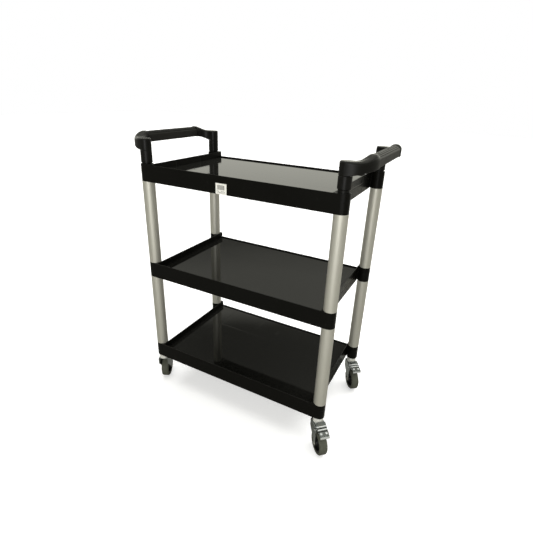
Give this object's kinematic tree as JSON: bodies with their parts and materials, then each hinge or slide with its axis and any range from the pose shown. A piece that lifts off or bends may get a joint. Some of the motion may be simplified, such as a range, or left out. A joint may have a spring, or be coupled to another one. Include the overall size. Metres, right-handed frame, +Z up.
{
  "type": "food service trolley",
  "caption": "Food service trolley: black moulded trays on round aluminium legs, a raised handle at each end, swivel casters below, foot brakes at one end.",
  "frame": {"origin": "on the floor, midway between the legs", "axes": "+X along the trolley towards the braked end, +Y towards the low rear lips of the trays, +Z up"},
  "size_m": [0.792, 0.4814, 0.9558],
  "materials": {
    "tray_plastic": "moulded black, glossy deck, satin walls",
    "tube_aluminium": "satin anodised",
    "plug_plastic": "moulded black",
    "handle_plastic": "fine-textured black",
    "grip_plastic": "ribbed, fine-textured black",
    "caster_zinc": "bright zinc plate",
    "axle_steel": "zinc plate",
    "caster_tread": "grey non-marking",
    "hub_plastic": "moulded black",
    "pad_rubber": "black",
    "label_paper": "matte paper"
  },
  "bodies": {
    "frame": {"top_tray": "tray_plastic", "middle_tray": "tray_plastic", "bottom_tray": "tray_plastic", "upper_tube_front_left": "tube_aluminium", "lower_tube_front_left": "tube_aluminium", "top_plug_front_left": "plug_plastic", "middle_spigot_front_left": "plug_plastic", "bottom_plug_front_left": "plug_plastic", "post_sleeve_front_left": "handle_plastic", "caster_head_front_left": "caster_zinc", "upper_tube_front_right": "tube_aluminium", "lower_tube_front_right": "tube_aluminium", "top_plug_front_right": "plug_plastic", "middle_spigot_front_right": "plug_plastic", "bottom_plug_front_right": "plug_plastic", "post_sleeve_front_right": "handle_plastic", "caster_head_front_right": "caster_zinc", "upper_tube_rear_left": "tube_aluminium", "lower_tube_rear_left": "tube_aluminium", "top_plug_rear_left": "plug_plastic", "middle_spigot_rear_left": "plug_plastic", "bottom_plug_rear_left": "plug_plastic", "post_sleeve_rear_left": "handle_plastic", "caster_head_rear_left": "caster_zinc", "upper_tube_rear_right": "tube_aluminium", "lower_tube_rear_right": "tube_aluminium", "top_plug_rear_right": "plug_plastic", "middle_spigot_rear_right": "plug_plastic", "bottom_plug_rear_right": "plug_plastic", "post_sleeve_rear_right": "handle_plastic", "caster_head_rear_right": "caster_zinc", "left_handle": "handle_plastic", "right_handle": "handle_plastic", "left_grip": "grip_plastic", "right_grip": "grip_plastic", "handle_bolts": "axle_steel", "swivel_balls": "axle_steel", "price_label": "label_paper"},
    "fork_front_left": {"caster_fork_front_left": "caster_zinc", "axle_bolt_front_left": "axle_steel"},
    "wheel_front_left": {"tyre_front_left": "caster_tread", "wheel_hub_front_left": "hub_plastic"},
    "fork_front_right": {"caster_fork_front_right": "caster_zinc", "axle_bolt_front_right": "axle_steel", "pedal_pin_front_right": "axle_steel"},
    "wheel_front_right": {"tyre_front_right": "caster_tread", "wheel_hub_front_right": "hub_plastic"},
    "pedal_front_right": {"brake_pedal_front_right": "caster_zinc", "brake_pad_front_right": "pad_rubber"},
    "fork_rear_left": {"caster_fork_rear_left": "caster_zinc", "axle_bolt_rear_left": "axle_steel"},
    "wheel_rear_left": {"tyre_rear_left": "caster_tread", "wheel_hub_rear_left": "hub_plastic"},
    "fork_rear_right": {"caster_fork_rear_right": "caster_zinc", "axle_bolt_rear_right": "axle_steel", "pedal_pin_rear_right": "axle_steel"},
    "wheel_rear_right": {"tyre_rear_right": "caster_tread", "wheel_hub_rear_right": "hub_plastic"},
    "pedal_rear_right": {"brake_pedal_rear_right": "caster_zinc", "brake_pad_rear_right": "pad_rubber"}
  },
  "joints": [
    {"name": "swivel_front_left", "type": "hinge", "parent": "frame", "child": "fork_front_left", "pos_m": [-0.328, -0.1815, 0.11], "axis": [0, 0, 1], "continuous": true},
    {"name": "wheel_spin_front_left", "type": "hinge", "parent": "fork_front_left", "child": "wheel_front_left", "pos_m": [-0.34162, -0.15477, 0.04], "axis": [-0.891, -0.454, 0], "continuous": true},
    {"name": "swivel_front_right", "type": "hinge", "parent": "frame", "child": "fork_front_right", "pos_m": [0.328, -0.1815, 0.11], "axis": [0, 0, 1], "continuous": true},
    {"name": "wheel_spin_front_right", "type": "hinge", "parent": "fork_front_right", "child": "wheel_front_right", "pos_m": [0.34865, -0.20326, 0.04], "axis": [0.7254, 0.6884, 0], "continuous": true},
    {"name": "brake_front_right", "type": "hinge", "parent": "fork_front_right", "child": "pedal_front_right", "pos_m": [0.34452, -0.19891, 0.092], "axis": [0.7254, 0.6884, 0], "range_deg": [0, 11]},
    {"name": "swivel_rear_left", "type": "hinge", "parent": "frame", "child": "fork_rear_left", "pos_m": [-0.328, 0.1815, 0.11], "axis": [0, 0, 1], "continuous": true},
    {"name": "wheel_spin_rear_left", "type": "hinge", "parent": "fork_rear_left", "child": "wheel_rear_left", "pos_m": [-0.34788, 0.20397, 0.04], "axis": [-0.749, -0.6626, 0], "continuous": true},
    {"name": "swivel_rear_right", "type": "hinge", "parent": "frame", "child": "fork_rear_right", "pos_m": [0.328, 0.1815, 0.11], "axis": [0, 0, 1], "continuous": true},
    {"name": "wheel_spin_rear_right", "type": "hinge", "parent": "fork_rear_right", "child": "wheel_rear_right", "pos_m": [0.34668, 0.15802, 0.04], "axis": [0.7826, 0.6225, 0], "continuous": true},
    {"name": "brake_rear_right", "type": "hinge", "parent": "fork_rear_right", "child": "pedal_rear_right", "pos_m": [0.34294, 0.16272, 0.092], "axis": [0.7826, 0.6225, 0], "range_deg": [0, 17]}
  ]
}
